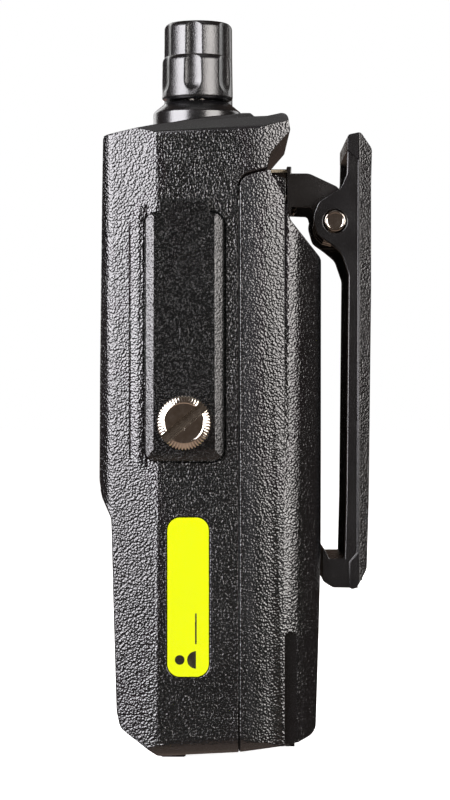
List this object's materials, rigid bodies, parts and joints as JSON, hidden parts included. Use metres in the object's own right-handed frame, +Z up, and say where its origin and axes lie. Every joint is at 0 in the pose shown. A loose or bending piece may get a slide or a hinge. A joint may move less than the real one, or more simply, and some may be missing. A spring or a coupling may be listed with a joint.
{
  "type": "portable radio",
  "caption": "Rugged handheld two-way radio with knobs, a jack cover, a clip-on battery and a sprung belt clip.",
  "frame": {"origin": "middle of the bottom of the whole box, on the surface that the radio stands on", "axes": "+Z up the radio, -Y out of the front face, +Y out of the belt clip, +X out of the jack cover"},
  "size_m": [0.0656, 0.0596, 0.1632],
  "materials": {
    "shell_plastic": "pebble-grained black polycarbonate",
    "satin_plastic": "finely textured black nylon",
    "soft_rubber": "soft matt black elastomer",
    "nickel": "nickel plate, turned and knurled",
    "steel": "plain stainless",
    "black_steel": "black oxide on pressed steel",
    "brass": "bright brass and gold plate",
    "casting": "die-cast, as cast",
    "label_film": "fluorescent yellow film with a satin face",
    "board": "green solder mask",
    "window": "dark clear window",
    "orange_plastic": "signal orange",
    "cell_wrap": "blue heat-shrink sleeve"
  },
  "bodies": {
    "radio": {"front_case": "shell_plastic", "volume_control": "casting", "channel_switch": "casting", "antenna_socket": "brass", "socket_ring": "nickel", "status_light": "window", "threaded_insert": "brass", "microphone_jack": "nickel", "speaker_jack": "nickel", "owner_label": "label_film", "key_mat": "soft_rubber", "chassis": "casting", "chassis_screw_1": "steel", "chassis_screw_2": "steel", "chassis_screw_3": "steel", "chassis_screw_4": "steel", "main_seal": "soft_rubber", "contact_block": "brass", "main_board": "board", "rf_shield": "steel", "grille_cloth": "soft_rubber", "speaker_frame": "steel", "speaker_magnet": "casting", "microphone": "casting", "display_window": "window", "display_module": "board", "latch_spring": "steel"},
    "volume_control_turn": {"volume_knob": "satin_plastic", "volume_shaft": "steel"},
    "channel_turn": {"channel_knob": "satin_plastic", "channel_shaft": "steel"},
    "ptt": {"ptt_button": "soft_rubber"},
    "side_upper": {"side_button_upper": "soft_rubber"},
    "side_lower": {"side_button_lower": "soft_rubber"},
    "key_1": {"function_key_1": "soft_rubber"},
    "key_2": {"function_key_2": "soft_rubber"},
    "key_3": {"function_key_3": "soft_rubber"},
    "key_4": {"function_key_4": "soft_rubber"},
    "emergency": {"emergency_button": "orange_plastic"},
    "cover": {"jack_cover": "soft_rubber"},
    "screw": {"cover_screw": "nickel"},
    "battery": {"battery_case": "shell_plastic", "battery_lid": "satin_plastic", "cell_lower": "cell_wrap", "cell_upper": "cell_wrap", "charge_contact_1": "brass", "charge_contact_2": "brass", "charge_contact_3": "brass", "clip_bracket": "black_steel", "bracket_screw_1": "steel", "bracket_screw_2": "steel", "hinge_pin": "steel", "torsion_spring": "steel"},
    "clip": {"belt_clip": "shell_plastic"},
    "latch": {"battery_latch": "satin_plastic"}
  },
  "joints": [
    {"name": "volume_turn", "type": "hinge", "parent": "radio", "child": "volume_control_turn", "pos_m": [0.0131, -0.00859, 0.1434], "axis": [0, 0, -1], "range_deg": [0, 270]},
    {"name": "channel_turn_stops", "type": "hinge", "parent": "radio", "child": "channel_turn", "pos_m": [-0.0055, -0.00859, 0.1434], "axis": [0, 0, -1], "range_deg": [0, 337.5]},
    {"name": "ptt_press", "type": "slide", "parent": "radio", "child": "ptt", "axis": [1, 0, 0], "range_m": [0, 0.001], "stiffness_N_per_m": 900, "springref_m": -0.001},
    {"name": "side_upper_press", "type": "slide", "parent": "radio", "child": "side_upper", "axis": [1, 0, 0], "range_m": [0, 0.001], "stiffness_N_per_m": 700, "springref_m": -0.001},
    {"name": "side_lower_press", "type": "slide", "parent": "radio", "child": "side_lower", "axis": [1, 0, 0], "range_m": [0, 0.001], "stiffness_N_per_m": 700, "springref_m": -0.001},
    {"name": "emergency_press", "type": "slide", "parent": "radio", "child": "emergency", "axis": [0, 0, -1], "range_m": [0, 0.001], "stiffness_N_per_m": 700, "springref_m": -0.001},
    {"name": "key_1_press", "type": "slide", "parent": "radio", "child": "key_1", "axis": [0, 1, 0], "range_m": [0, 0.0008], "stiffness_N_per_m": 500, "springref_m": -0.0008},
    {"name": "key_2_press", "type": "slide", "parent": "radio", "child": "key_2", "axis": [0, 1, 0], "range_m": [0, 0.0008], "stiffness_N_per_m": 500, "springref_m": -0.0008},
    {"name": "key_3_press", "type": "slide", "parent": "radio", "child": "key_3", "axis": [0, 1, 0], "range_m": [0, 0.0008], "stiffness_N_per_m": 500, "springref_m": -0.0008},
    {"name": "key_4_press", "type": "slide", "parent": "radio", "child": "key_4", "axis": [0, 1, 0], "range_m": [0, 0.0008], "stiffness_N_per_m": 500, "springref_m": -0.0008},
    {"name": "cover_swing", "type": "hinge", "parent": "radio", "child": "cover", "pos_m": [0.028, -0.01124, 0.12025], "axis": [0, -1, 0], "range_deg": [0, 110]},
    {"name": "screw_turn", "type": "hinge", "parent": "cover", "child": "screw", "pos_m": [0.0299, -0.01124, 0.07285], "axis": [1, 0, 0], "range_deg": [0, 1080]},
    {"name": "battery_off", "type": "slide", "parent": "radio", "child": "battery", "axis": [0, 1, 0], "range_m": [0, 0.03]},
    {"name": "clip_open", "type": "hinge", "parent": "battery", "child": "clip", "pos_m": [-0.0019, 0.02161, 0.1169], "axis": [1, 0, 0], "range_deg": [0, 22], "stiffness_Nm_per_rad": 0.6, "springref_deg": -14.9},
    {"name": "latch_slide", "type": "slide", "parent": "radio", "child": "latch", "axis": [0, -1, 0], "range_m": [0, 0.0024], "stiffness_N_per_m": 400, "springref_m": -0.0015}
  ]
}
